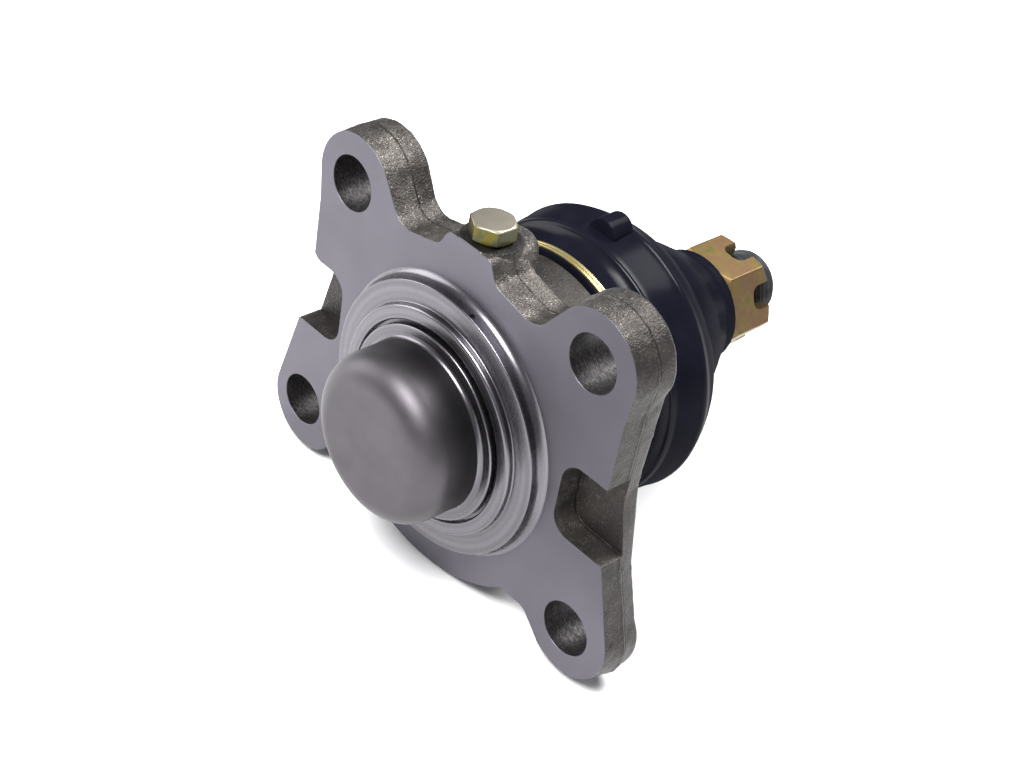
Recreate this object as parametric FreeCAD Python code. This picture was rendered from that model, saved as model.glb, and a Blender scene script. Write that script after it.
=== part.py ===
import FreeCAD, Part
import math
import os

# Suspension ball joint: a forged four-bolt flange housing with a capped front spigot,
# a ball stud leaving the rear through a rubber boot, and a castle nut.
# Frame in mm: origin on the stud axis at the machined flange face, +Y along the stud,
# +Z up towards the grease plug.

# Sizes, each written once
bolt_hole_d = 12.5
bolt_circle_r = 52.0
upper_hole_angle = 45.5
lower_hole_angle = -30.5
ear_r = 11.4
disc_r = 39.6
flange_t = 11.0
parting_y = 5.5
parting_bulge = 0.9
boss_edge_z = 42.6
pocket_depth = 6.25
back_edge = 1.2

spigot_r = 30.8
spigot_h = 3.3
spigot_root_fillet = 1.6
spigot_edge = 0.3
spigot_step_r = 25.9
lip_h = 5.2
lip_t = 1.1
lip_inner_r = 22.6

cap_r = 19.0
cap_t = 1.9
cap_end_y = -20.5
cap_shoulder_r = 6.1
cap_flange_r = 24.2
cap_flange_t = 1.8
cap_bead_r = 21.9
cap_bead_h = 6.1

ball_r = 16.0
ball_y = 5.5
seat_wall = 2.95
seat_back_t = 4.1
seat_split = 0.8
seat_mouth_angle = 57.0
spring_r = 15.0
spring_hole_r = 7.0
spring_t = 1.6

neck_r = 28.0
neck_fillet = 3.2
boot_groove_r = 26.6
boot_groove_y = 29.7
boot_groove_w = 3.0
neck_end_y = 35.3
throat_front_r = 13.9
throat_rear_r = 22.2

stud_neck_r = 9.0
stud_neck_end_y = 43.0
stud_shoulder_r = 10.8
stud_shoulder_y = 50.0
taper_start_y = 62.0
taper_length = 18.0
taper_ratio = 1.0 / 8.0
thread_r = 8.0
thread_end_y = 102.0
thread_chamfer = 1.2
cotter_hole_d = 4.0

boot_lip_t = 2.27
boot_wall = 1.8
boot_flare_r = 32.0
boot_flare_y = 36.6
boot_drum_r = 33.6
boot_drum_y = 46.0
boot_band_r = 33.85
boot_shoulder_r = 30.2
boot_shoulder_y = 52.8
boot_fold_r = 26.3
boot_fold_y = 55.0
boot_waist_r = 24.5
boot_waist_y = 57.2
boot_cone_r = 19.2
boot_cone_y = 68.2
boot_tip_r = 15.2
boot_tip_y = 75.0
boot_end_gap = 0.5
boot_end_r = 13.9
nub_r = 3.2
nub_edge = 0.5
nub_y = 39.6
nub_length = 7.0
clip_wire_d = 0.8
clip_pitch = 0.85
clip_inset = 0.68
ring_inset = 2.0
ring_length = 4.0
ring_t = 1.2

nut_af = 24.0
nut_y = 80.3
nut_h = 14.6
nut_slot_w = 6.0
nut_slot_depth = 6.4
nut_slot_corner = 2.2
nut_turn = -4.9

plug_af = 9.0
plug_turn = 29.0
plug_head_h = 4.2
plug_thread_r = 3.0
plug_thread_length = 8.0
plug_y = 5.8
boss_r = 6.6
boss_top_z = 42.9
swell_r = 6.9
swell_y = 10.3
swell_drop = 0.4
swell_round = 4.0
grease_way_r = 1.5

# Clearances between pieces
bore_gap = 0.05
ball_gap = 0.05
thread_gap = 0.05
taper_gap = 0.4
lip_gap = 0.05
rubber_gap = 0.03

# Worked out from the sizes above
seat_r = ball_r + ball_gap + seat_wall
clip_seat_r = boot_groove_r + rubber_gap + boot_lip_t
boot_end_y = nut_y - boot_end_gap
ring_y = boot_end_y - ring_inset - ring_length

origin = FreeCAD.Vector(0, 0, 0)
axis_y = FreeCAD.Vector(0, 1, 0)
axis_z = FreeCAD.Vector(0, 0, 1)


def rz(radius, y):
    """A point of a turned profile: distance from the axis, then place along it."""
    return FreeCAD.Vector(radius, y, 0)


def on_plane(x, z, y=0.0):
    """A point of the flange outline."""
    return FreeCAD.Vector(x, y, z)


def circle_point(cx, cz, radius, degrees, y=0.0):
    a = math.radians(degrees)
    return on_plane(cx + radius * math.cos(a), cz + radius * math.sin(a), y)


def edges_of(path):
    """Lines and three-point arcs through a list of points; an arc is given as (middle, end)."""
    edges = []
    here = path[0]
    for step in path[1:]:
        if isinstance(step, tuple):
            middle, end = step
            edges.append(Part.Arc(here, middle, end).toShape())
            here = end
        else:
            edges.append(Part.LineSegment(here, step).toShape())
            here = step
    if here.distanceToPoint(path[0]) > 1e-6:
        edges.append(Part.LineSegment(here, path[0]).toShape())
    return edges


def turned(path):
    """A closed profile spun round the stud axis."""
    face = Part.Face(Part.Wire(edges_of(path)))
    return face.revolve(origin, axis_y, 360)


def rounded(corner, before, after, radius):
    """The arc that rounds one corner of an outline, as start, middle and end."""
    u = (before - corner).normalize()
    v = (after - corner).normalize()
    half = u.getAngle(v) / 2.0
    reach = radius / math.tan(half)
    bisector = (u + v).normalize()
    centre = corner + bisector * (radius / math.sin(half))
    start = corner + u * reach
    end = corner + v * reach
    middle = centre - bisector * radius
    return start, middle, end


def cylinder_y(radius, y0, y1, x=0.0, z=0.0):
    return Part.makeCylinder(radius, y1 - y0, FreeCAD.Vector(x, y0, z), axis_y)


def prism_y(outline, y0, y1):
    """A flat outline at y0 pushed out to y1."""
    wire = Part.Wire(edges_of(outline))
    return Part.Face(wire).extrude(FreeCAD.Vector(0, y1 - y0, 0))


def mirrored(shape):
    return shape.mirror(origin, FreeCAD.Vector(1, 0, 0))


def hexagon_prism(across_flats, height, turn):
    r = across_flats / math.sqrt(3.0)
    points = [FreeCAD.Vector(r * math.cos(math.radians(turn + 60 * i)),
                             r * math.sin(math.radians(turn + 60 * i)), 0) for i in range(6)]
    wire = Part.makePolygon(points + [points[0]])
    return Part.Face(wire).extrude(FreeCAD.Vector(0, 0, height))


def hole_centres():
    places = []
    for degrees in (upper_hole_angle, lower_hole_angle):
        a = math.radians(degrees)
        places.append((bolt_circle_r * math.cos(a), bolt_circle_r * math.sin(a)))
    return places


# Flange outline at one depth, right half, from the boss at the top round both ears to the bottom.
# The forging is fullest at its parting line, half way through, and waisted at the back.
def flange_half(y, grow, boss_x, ear_drop, waist_x, waist_z, hip_x, hip_z, ear_turn):
    (ux, uz), (lx, lz) = hole_centres()
    lz = lz - ear_drop
    r = ear_r + grow
    ear_in = 142.3
    side_up = -2.0
    ear_out = -124.0
    top = on_plane(0, boss_edge_z, y)
    boss_edge = on_plane(boss_x, boss_edge_z, y)
    boss_foot = on_plane(8.6 + grow / 2, 38.1 + grow / 2, y)
    trough = on_plane(21.0 - grow / 2, 35.4 + grow / 2, y)
    ear_a = circle_point(ux, uz, r, ear_in, y)
    ear_b = circle_point(ux, uz, r, side_up, y)
    waist = on_plane(waist_x, waist_z, y)
    hip = on_plane(hip_x, hip_z, y)
    ear_c = circle_point(lx, lz, r, ear_turn, y)
    ear_d = circle_point(lx, lz, r, ear_out, y)
    crook = on_plane(32.6, -30.2 - grow / 2, y)
    heel = on_plane(25.6, -30.3 - grow / 2, y)
    disc_angle = -54.5
    disc_a = circle_point(0, 0, disc_r + grow / 2, disc_angle, y)
    path = [on_plane(0, 0, y), top]
    for corner, before, after, radius in (
            (boss_edge, top, boss_foot, 1.2),
            (boss_foot, boss_edge, trough, 3.4),
            (trough, boss_foot, ear_a, 5.6)):
        start, middle, end = rounded(corner, before, after, radius)
        path += [start, (middle, end)]
    path += [ear_a, (circle_point(ux, uz, r, (ear_in + side_up) / 2, y), ear_b)]
    for corner, before, after, radius in (
            (waist, ear_b, hip, 13.0),
            (hip, waist, ear_c, 9.0)):
        start, middle, end = rounded(corner, before, after, radius)
        path += [start, (middle, end)]
    path += [ear_c, (circle_point(lx, lz, r, (ear_turn + ear_out) / 2, y), ear_d)]
    for corner, before, after, radius in (
            (crook, ear_d, heel, 3.5),
            (heel, crook, disc_a, 2.0)):
        start, middle, end = rounded(corner, before, after, radius)
        path += [start, (middle, end)]
    path += [disc_a, (circle_point(0, 0, disc_r + grow / 2, (disc_angle - 90) / 2, y),
                      on_plane(0, -disc_r - grow / 2, y))]
    return path


def flange_block():
    draw_in = back_edge * 0.6
    sections = (
        (0.0, 0.0, 6.4, 0.0, 46.9, 4.5, 50.2, -5.9, 18.3),
        (parting_y, parting_bulge, 6.2, 1.0, 47.2, 6.0, 50.6, -7.5, 26.0),
        (flange_t - back_edge, -0.1, 3.8, 1.6, 46.4, 9.4, 49.8, -9.3, 34.6),
        (flange_t, -0.3 - draw_in, 3.4, 1.8, 46.2 - draw_in, 10.0, 49.6 - draw_in, -9.5, 36.0))
    wires = [Part.Wire(edges_of(flange_half(*section))) for section in sections]
    return Part.makeLoft(wires, True, True)


# Side pocket: sunk from the machined face, open to the side, with a web left behind it
def side_pocket():
    inner_x = 35.2
    top_z = 12.6
    bottom_z = -5.0
    outer_x = bolt_circle_r + ear_r
    far_top = on_plane(outer_x, top_z, -1)
    far_bottom = on_plane(outer_x, bottom_z, -1)
    top = on_plane(inner_x, top_z, -1)
    bottom = on_plane(inner_x, bottom_z, -1)
    s1, m1, e1 = rounded(top, far_top, bottom, 5.0)
    s2, m2, e2 = rounded(bottom, top, far_bottom, 4.5)
    path = [far_top, s1, (m1, e1), s2, (m2, e2), far_bottom]
    return prism_y(path, -1, pocket_depth)


def flange():
    half = flange_block().cut(side_pocket())
    plate = half.fuse(mirrored(half)).removeSplitter()
    return plate


# Turned core: spigot with its clinched lip, the neck, and the groove that takes the boot
def housing_core():
    groove_end = boot_groove_y + boot_groove_w
    path = [
        rz(0, 0), rz(spigot_r + spigot_root_fillet, 0),
        (rz(spigot_r + 0.293 * spigot_root_fillet, -0.293 * spigot_root_fillet),
         rz(spigot_r, -spigot_root_fillet)),
        rz(spigot_r, spigot_edge - spigot_h), rz(spigot_r - spigot_edge, -spigot_h),
        rz(spigot_step_r + 0.4, -spigot_h - 0.2), rz(spigot_step_r, -spigot_h - 0.6), rz(spigot_step_r, -lip_h + 0.6),
        (rz(spigot_step_r - 0.3, -lip_h + 0.15), rz(spigot_step_r - 1.0, -lip_h)),
        rz(0, -lip_h)]
    front = turned(path)
    rear = turned([
        rz(0, 0), rz(neck_r + neck_fillet, 0), rz(neck_r + neck_fillet, flange_t),
        (rz(neck_r + 0.293 * neck_fillet, flange_t + 0.293 * neck_fillet),
         rz(neck_r, flange_t + neck_fillet)),
        rz(neck_r, boot_groove_y - 0.6), rz(neck_r - 0.6, boot_groove_y),
        rz(boot_groove_r, boot_groove_y), rz(boot_groove_r, groove_end),
        rz(boot_groove_r + 0.8, groove_end + 0.4), rz(boot_groove_r + 0.8, neck_end_y - 0.8),
        rz(boot_groove_r, neck_end_y), rz(0, neck_end_y)])
    return front.fuse(rear)


def housing_bores():
    seat_floor = ball_y + (ball_r + ball_gap) * math.cos(math.radians(seat_mouth_angle))
    flange_floor = -lip_h + lip_t + lip_gap + cap_flange_t
    mouth = turned([
        rz(0, -lip_h - 1), rz(lip_inner_r, -lip_h - 1), rz(lip_inner_r, -lip_h + lip_t),
        rz(cap_flange_r + bore_gap, -lip_h + lip_t), rz(cap_flange_r + bore_gap, flange_floor),
        rz(seat_r + bore_gap, flange_floor), rz(seat_r + bore_gap, seat_floor),
        rz(throat_front_r, seat_floor), rz(throat_rear_r, neck_end_y + 0.01),
        rz(0, neck_end_y + 0.01)])
    return mouth


# Boss that carries the grease plug: a tapered pad cut off at the machined face,
# and behind it a rounder and slightly lower swell that runs down to the neck
def plug_boss():
    depth = 12.0
    foot_z = boss_top_z - depth
    pad = Part.makeCone(boss_r + 1.5, boss_r, depth, FreeCAD.Vector(0, plug_y, foot_z), axis_z)
    keep = Part.makeBox(60, 60, 60, FreeCAD.Vector(-30, 0, 20))
    swell_z = boss_top_z - swell_drop
    axis_point = FreeCAD.Vector(0, swell_y, 0)
    diagonal = 1 - math.sqrt(0.5)
    side = FreeCAD.Vector(swell_r, swell_y, swell_z - swell_round)
    middle = FreeCAD.Vector(swell_r - swell_round * diagonal, swell_y, swell_z - swell_round * diagonal)
    crown = FreeCAD.Vector(swell_r - swell_round, swell_y, swell_z)
    profile = Part.Wire(edges_of([
        FreeCAD.Vector(0, swell_y, neck_r / 2), FreeCAD.Vector(swell_r, swell_y, neck_r / 2),
        side, (middle, crown), FreeCAD.Vector(0, swell_y, swell_z)]))
    swell = Part.Face(profile).revolve(axis_point, axis_z, 360)
    return pad.fuse(swell).common(keep)


def housing():
    body = housing_core().fuse(flange()).fuse(plug_boss())
    body = body.cut(housing_bores())
    for x, z in hole_centres():
        for side in (-1, 1):
            body = body.cut(cylinder_y(bolt_hole_d / 2, -1, flange_t + 1, side * x, z))
    thread_floor = boss_top_z - plug_thread_length - 2.0
    body = body.cut(Part.makeCylinder(plug_thread_r + thread_gap, 20,
                                      FreeCAD.Vector(0, plug_y, thread_floor), axis_z))
    body = body.cut(Part.makeCylinder(grease_way_r, thread_floor - seat_r + 2,
                                      FreeCAD.Vector(0, plug_y, seat_r - 1.5), axis_z))
    return body.removeSplitter()


def end_cap():
    top = -lip_h + lip_t + lip_gap
    inner_r = cap_r - cap_t
    shoulder = cap_shoulder_r
    inner_shoulder = cap_shoulder_r - cap_t
    diagonal = 1 - math.sqrt(0.5)
    return turned([
        rz(0, cap_end_y), rz(cap_r - shoulder, cap_end_y),
        (rz(cap_r - shoulder * diagonal, cap_end_y + shoulder * diagonal),
         rz(cap_r, cap_end_y + shoulder)),
        rz(cap_r, -cap_bead_h - 1.6),
        (rz(cap_r + 0.5, -cap_bead_h - 0.5), rz(cap_r + 1.6, -cap_bead_h)),
        rz(cap_bead_r - 0.3, -cap_bead_h), rz(cap_bead_r, -cap_bead_h + 0.3),
        rz(cap_bead_r, top), rz(cap_flange_r, top), rz(cap_flange_r, top + cap_flange_t),
        rz(inner_r, top + cap_flange_t), rz(inner_r, cap_end_y + cap_t + inner_shoulder),
        (rz(inner_r - inner_shoulder * diagonal, cap_end_y + cap_t + inner_shoulder * diagonal),
         rz(inner_r - inner_shoulder, cap_end_y + cap_t)),
        rz(0, cap_end_y + cap_t)])


def seat_back_y():
    return ball_y - ball_r - seat_back_t


def sphere_point(radius, degrees):
    """A point of the ball's profile, degrees from the stud direction."""
    a = math.radians(degrees)
    return rz(radius * math.sin(a), ball_y + radius * math.cos(a))


def upper_ball_seat():
    r = ball_r + ball_gap
    rim_y = ball_y - seat_split / 2
    rim = 90 + math.degrees(math.asin(seat_split / 2 / r))
    step_y = -lip_h + lip_t + lip_gap + cap_flange_t + 0.3
    inner_r = cap_r - cap_t - 0.3
    back = seat_back_y()
    return turned([
        sphere_point(r, 180), (sphere_point(r, (180 + rim) / 2), sphere_point(r, rim)),
        rz(seat_r, rim_y), rz(seat_r, step_y), rz(inner_r, step_y), rz(inner_r, back + 5.2),
        rz(inner_r - 3.6, back), rz(0, back)])


def lower_ball_seat():
    r = ball_r + ball_gap
    rim_y = ball_y + seat_split / 2
    rim = 90 - math.degrees(math.asin(seat_split / 2 / r))
    floor_y = ball_y + r * math.cos(math.radians(seat_mouth_angle))
    return turned([
        sphere_point(r, rim),
        (sphere_point(r, (rim + seat_mouth_angle) / 2), sphere_point(r, seat_mouth_angle)),
        rz(seat_r, floor_y), rz(seat_r, rim_y)])


def preload_spring():
    back = seat_back_y()
    front = cap_end_y + cap_t
    slope = (back - front - spring_t) / (spring_r - spring_hole_r)
    return turned([
        rz(spring_hole_r, front), rz(spring_hole_r + 1.0, front),
        rz(spring_r, front + slope * (spring_r - spring_hole_r - 1.0)),
        rz(spring_r, back), rz(spring_r - 1.0, back),
        rz(spring_hole_r, front + spring_t)])


def taper_r(y):
    return stud_shoulder_r - (y - taper_start_y) * taper_ratio / 2


def ball_stud():
    neck_angle = math.degrees(math.asin(stud_neck_r / ball_r))
    taper_end_y = taper_start_y + taper_length
    body = turned([
        sphere_point(ball_r, 180),
        (sphere_point(ball_r, (180 + neck_angle) / 2), sphere_point(ball_r, neck_angle)),
        rz(stud_neck_r, stud_neck_end_y), rz(stud_shoulder_r, stud_shoulder_y),
        rz(stud_shoulder_r, taper_start_y), rz(taper_r(taper_end_y), taper_end_y),
        rz(thread_r, taper_end_y), rz(thread_r, thread_end_y - thread_chamfer),
        rz(thread_r - thread_chamfer, thread_end_y), rz(0, thread_end_y)])
    hole_y = nut_y + nut_h - nut_slot_depth / 2
    a = math.radians(nut_turn + 30)
    way = FreeCAD.Vector(math.cos(a), 0, math.sin(a))
    hole = Part.makeCylinder(cotter_hole_d / 2, 4 * thread_r,
                             FreeCAD.Vector(0, hole_y, 0) - way * (2 * thread_r), way)
    return body.cut(hole)


def castle_nut():
    height = nut_h
    corner_r = nut_af / math.sqrt(3.0)
    body = hexagon_prism(nut_af, height, nut_turn)
    rise = 0.577
    top_r = nut_af / 2 - 1.6
    low_r = nut_af / 2 - 0.3
    turn_path = [
        FreeCAD.Vector(0, 0, 0), FreeCAD.Vector(low_r, 0, 0),
        FreeCAD.Vector(corner_r + 1, 0, (corner_r + 1 - low_r) * rise),
        FreeCAD.Vector(corner_r + 1, 0, height - (corner_r + 1 - top_r) * rise),
        FreeCAD.Vector(top_r, 0, height), FreeCAD.Vector(0, 0, height)]
    face = Part.Face(Part.makePolygon(turn_path + [turn_path[0]]))
    body = body.common(face.revolve(origin, axis_z, 360))
    body = body.cut(Part.makeCylinder(thread_r + thread_gap, height + 2, FreeCAD.Vector(0, 0, -1)))
    body = body.cut(Part.makeCone(thread_r + 1.0, thread_r, 1.0))
    body = body.cut(Part.makeCone(thread_r, thread_r + 1.0, 1.0, FreeCAD.Vector(0, 0, height - 1.0)))
    floor_z = height - nut_slot_depth
    half = nut_slot_w / 2
    low_left = FreeCAD.Vector(0, -half, floor_z)
    low_right = FreeCAD.Vector(0, half, floor_z)
    top_left = FreeCAD.Vector(0, -half, height + 1)
    top_right = FreeCAD.Vector(0, half, height + 1)
    s1, m1, e1 = rounded(low_left, top_left, low_right, nut_slot_corner)
    s2, m2, e2 = rounded(low_right, low_left, top_right, nut_slot_corner)
    slot_wire = Part.Wire(edges_of([top_left, s1, (m1, e1), s2, (m2, e2), top_right]))
    slot = Part.Face(slot_wire).extrude(FreeCAD.Vector(corner_r + 1, 0, 0))
    for i in range(6):
        tool = slot.copy()
        tool.rotate(origin, axis_z, nut_turn + 30 + 60 * i)
        body = body.cut(tool)
    body.rotate(origin, FreeCAD.Vector(1, 0, 0), -90)
    body = body.mirror(origin, axis_z)
    body.translate(FreeCAD.Vector(0, nut_y, 0))
    return body


def grease_plug():
    head = hexagon_prism(plug_af, plug_head_h, plug_turn)
    corner_r = plug_af / math.sqrt(3.0)
    top_r = plug_af / 2 - 0.2
    cone = [FreeCAD.Vector(0, 0, 0), FreeCAD.Vector(corner_r + 1, 0, 0),
            FreeCAD.Vector(corner_r + 1, 0, plug_head_h - (corner_r + 1 - top_r) * 0.577),
            FreeCAD.Vector(top_r, 0, plug_head_h), FreeCAD.Vector(0, 0, plug_head_h)]
    head = head.common(Part.Face(Part.makePolygon(cone + [cone[0]])).revolve(origin, axis_z, 360))
    shank = Part.makeCylinder(plug_thread_r, plug_thread_length - 0.8,
                              FreeCAD.Vector(0, 0, 0.8 - plug_thread_length))
    tip = Part.makeCone(plug_thread_r - 0.8, plug_thread_r, 0.8,
                        FreeCAD.Vector(0, 0, -plug_thread_length))
    plug = head.fuse(shank).fuse(tip).removeSplitter()
    plug.translate(FreeCAD.Vector(0, plug_y, boss_top_z))
    return plug


def bowed(start, end, bow):
    """The arc between two points whose middle stands off the chord by a share of its length."""
    chord = end - start
    side = FreeCAD.Vector(chord.y, -chord.x, 0)
    return (start + end) * 0.5 + side * bow, end


def walled(point, degrees):
    """The boot's inner point behind an outer one, a wall's thickness away in the given direction."""
    a = math.radians(degrees)
    return point + rz(boot_wall * math.cos(a), boot_wall * math.sin(a))


# Boot: clamped lip, flare, wide drum with a band behind it, second bulge and the small end
def dust_boot():
    lip_r = boot_groove_r + rubber_gap
    lip_y = boot_groove_y + 0.1
    lip_end = boot_groove_y + boot_groove_w - 0.1
    bead_r = boot_groove_r + 0.8 + 0.4
    hold = ring_t + taper_r(ring_y) + taper_gap
    foot = rz(clip_seat_r + 0.5, lip_end + 0.6)
    flare = rz(boot_flare_r, boot_flare_y)
    crease = rz(boot_flare_r + 0.6, boot_flare_y + 1.0)
    drum = rz(boot_drum_r, boot_drum_y)
    band = rz(boot_band_r, boot_drum_y + 0.3)
    shoulder = rz(boot_shoulder_r, boot_shoulder_y)
    fold = rz(boot_fold_r, boot_fold_y)
    waist = rz(boot_waist_r, boot_waist_y)
    cone = rz(boot_cone_r, boot_cone_y)
    tip = rz(boot_tip_r, boot_tip_y)
    in_crease = walled(crease, 162)
    in_drum = walled(drum, 193)
    in_shoulder = walled(shoulder, 241)
    in_fold = walled(fold, 232)
    in_waist = walled(waist, 207)
    in_cone = walled(cone, 209)
    ring_front = rz(hold + rubber_gap, ring_y - rubber_gap - 0.3)
    path = [
        rz(lip_r, lip_y), rz(clip_seat_r - 0.3, lip_y), rz(clip_seat_r, lip_y + 0.3),
        rz(clip_seat_r, lip_end), foot,
        bowed(foot, flare, -0.078), bowed(flare, crease, 0.15), bowed(crease, drum, 0.009), band,
        bowed(band, shoulder, 0.027), bowed(shoulder, fold, 0.108), bowed(fold, waist, -0.176),
        bowed(waist, cone, 0.023), bowed(cone, tip, -0.008),
        rz(boot_end_r, boot_end_y - 2.6), rz(boot_end_r, boot_end_y - 0.6),
        rz(boot_end_r - 0.6, boot_end_y),
        rz(taper_r(boot_end_y) + 0.1, boot_end_y),
        rz(taper_r(boot_end_y - 1.2) + 0.1, boot_end_y - 1.2),
        rz(hold + rubber_gap, ring_y + ring_length + rubber_gap), ring_front,
        bowed(ring_front, in_cone, 0.052), bowed(in_cone, in_waist, -0.025),
        bowed(in_waist, in_fold, 0.166), bowed(in_fold, in_shoulder, -0.102),
        bowed(in_shoulder, in_drum, -0.059), bowed(in_drum, in_crease, -0.026),
        rz(bead_r, neck_end_y + 1.0), rz(bead_r, lip_end + 0.4), rz(lip_r, lip_end)]
    body = turned(path)
    nub_z = boot_drum_r - 0.4
    nub = Part.makeCone(nub_r - nub_edge, nub_r, nub_edge, FreeCAD.Vector(0, nub_y, nub_z), axis_y)
    nub = nub.fuse(cylinder_y(nub_r, nub_y + nub_edge, nub_y + nub_length, 0, nub_z))
    inside = cylinder_y(boot_drum_r - boot_wall - 0.1, boot_flare_y, boot_shoulder_y)
    return body.fuse(nub.cut(inside)).removeSplitter()


def boot_clip():
    centre_r = clip_seat_r + clip_wire_d / 2
    first_y = boot_groove_y + clip_inset
    wires = None
    for i in range(2):
        y = first_y + i * clip_pitch
        wire = Part.makeTorus(centre_r, clip_wire_d / 2, FreeCAD.Vector(0, y, 0), axis_y)
        wires = wire if wires is None else wires.fuse(wire)
    link = Part.makeCylinder(clip_wire_d / 2 - 0.1, clip_pitch,
                             FreeCAD.Vector(0, first_y, -centre_r), axis_y)
    return wires.fuse(link)


def boot_neck_ring():
    inner = taper_r(ring_y) + taper_gap
    return turned([rz(inner, ring_y), rz(inner + ring_t, ring_y),
                   rz(inner + ring_t, ring_y + ring_length), rz(inner, ring_y + ring_length)])


def main():
    os.makedirs("parts", exist_ok=True)
    pieces = {
        "housing": housing(),
        "end_cap": end_cap(),
        "preload_spring": preload_spring(),
        "upper_ball_seat": upper_ball_seat(),
        "lower_ball_seat": lower_ball_seat(),
        "ball_stud": ball_stud(),
        "dust_boot": dust_boot(),
        "boot_clip": boot_clip(),
        "boot_neck_ring": boot_neck_ring(),
        "castle_nut": castle_nut(),
        "grease_plug": grease_plug(),
    }
    for name, shape in pieces.items():
        if shape.ShapeType != "Solid" and len(shape.Solids) == 1:
            shape = shape.Solids[0]
        shape.exportStep("parts/" + name + ".step")
        print(name, shape.ShapeType, len(shape.Solids), round(shape.Volume, 1), shape.isValid())


main()
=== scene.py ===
"""Looks of a suspension ball joint: forged housing, pressed cap, rubber boot, clip, castle nut, plug and stud.

The scene is in metres and the numbers in the code are in mm. The stud runs along Y, and the origin lies on its
axis in the plane of the machined face."""

import math

import bmesh
import bpy
import numpy as np
from bpy.props import FloatProperty, FloatVectorProperty, IntProperty, PointerProperty
from mathutils import Matrix, Vector


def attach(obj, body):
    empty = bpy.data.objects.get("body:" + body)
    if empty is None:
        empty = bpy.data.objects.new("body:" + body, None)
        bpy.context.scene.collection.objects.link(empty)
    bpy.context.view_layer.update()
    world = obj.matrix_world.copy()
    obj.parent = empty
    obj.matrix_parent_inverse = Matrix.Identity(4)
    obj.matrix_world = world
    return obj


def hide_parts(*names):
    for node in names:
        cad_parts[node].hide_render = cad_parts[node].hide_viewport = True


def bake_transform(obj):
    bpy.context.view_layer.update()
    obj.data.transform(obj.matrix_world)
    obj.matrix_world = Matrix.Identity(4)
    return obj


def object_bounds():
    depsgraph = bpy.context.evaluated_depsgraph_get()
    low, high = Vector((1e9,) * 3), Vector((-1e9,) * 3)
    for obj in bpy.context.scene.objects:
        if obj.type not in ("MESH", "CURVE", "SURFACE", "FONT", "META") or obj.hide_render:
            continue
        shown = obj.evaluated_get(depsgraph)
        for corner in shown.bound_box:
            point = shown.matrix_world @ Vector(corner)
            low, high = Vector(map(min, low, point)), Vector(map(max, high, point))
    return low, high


bl_info = {
    "name": "Suspension Ball Joint",
    "version": (1, 0, 0),
    "blender": (4, 5, 0),
    "location": "View3D > Sidebar > Ball Joint",
    "description": "Builds the finished surfaces, materials and studio of a suspension ball joint",
    "category": "Add Mesh",
}

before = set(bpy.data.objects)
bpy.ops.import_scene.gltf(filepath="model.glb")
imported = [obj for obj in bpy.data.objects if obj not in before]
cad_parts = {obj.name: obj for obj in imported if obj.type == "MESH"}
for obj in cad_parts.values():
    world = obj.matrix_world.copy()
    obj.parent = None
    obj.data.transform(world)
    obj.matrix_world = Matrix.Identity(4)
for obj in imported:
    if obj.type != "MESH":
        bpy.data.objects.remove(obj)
CAD_LOW, CAD_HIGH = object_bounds()
MM = 0.001
MACHINED, FORGED, TURNED, DRILLED = range(4)  # the housing's finishes
PLUG_Y, PLUG_Z = 5.8, 42.9  # the plug's axis and the top of its boss
PITS = (-15.5, 0.0, 32.0)  # middle of a patch of small pits in the machined face
NICK = (6.1, -2.4, 30.2)  # a dent in the ring at the spigot's foot


def in_mm(*lengths):
    return [v / MM for v in lengths]


# Sizes and colours that a user would change, in metres

def length(name, description, default_mm):
    return FloatProperty(name=name, description=description, default=default_mm * MM, min=0.0,
                         unit="LENGTH", precision=5)


def colour(name, description, default):
    return FloatVectorProperty(name=name, description=description, default=default, subtype="COLOR",
                               size=3, min=0.0, max=1.0)


class FlangeSizes(bpy.types.PropertyGroup):
    bolt_circle: length("Bolt circle radius", "Distance from the stud axis to each bolt hole", 52.0)
    bolt_hole: length("Bolt hole radius", "Radius of the four bolt holes", 6.25)
    ear: length("Ear radius", "Outer radius of the ears round the bolt holes", 11.4)
    disc: length("Disc radius", "Radius of the flange's round bottom", 39.6)
    thickness: length("Thickness", "Depth of the flange from its machined face", 11.0)
    parting: length("Parting line", "Depth of the forging's parting line", 5.5)
    back_round: length("Back rounding", "Rounding of the forging's back edge", 1.2)
    offset: length("Offset", "How far the forging's left half sits nearer the middle", 0.9)
    pocket_depth: length("Pocket depth", "Depth of the side pockets", 6.25)
    relief: length("Forging relief", "Height of the uneven forged skin", 0.07)


class SpigotSizes(bpy.types.PropertyGroup):
    radius: length("Spigot radius", "Radius that centres the joint in its arm", 30.8)
    height: length("Spigot height", "Height of the spigot's first ring", 3.3)
    lip_radius: length("Lip radius", "Outer radius of the clinched lip", 25.9)
    lip_bore: length("Lip bore", "Inner radius of the clinched lip", 22.6)
    lip_height: length("Lip height", "Height of the clinched lip", 5.2)
    neck: length("Neck radius", "Radius of the neck behind the flange", 28.0)
    neck_end: length("Neck end", "Where the neck ends, along the stud", 35.3)


class CapSizes(bpy.types.PropertyGroup):
    radius: length("Cap radius", "Outer radius of the pressed cap", 19.0)
    end: length("Cap height", "Distance of the cap's end from the machined face", 20.5)
    shoulder: length("Shoulder", "Rounding between the cap's end and its wall", 6.1)
    wall: length("Wall", "Thickness of the pressed sheet", 1.9)


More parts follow.
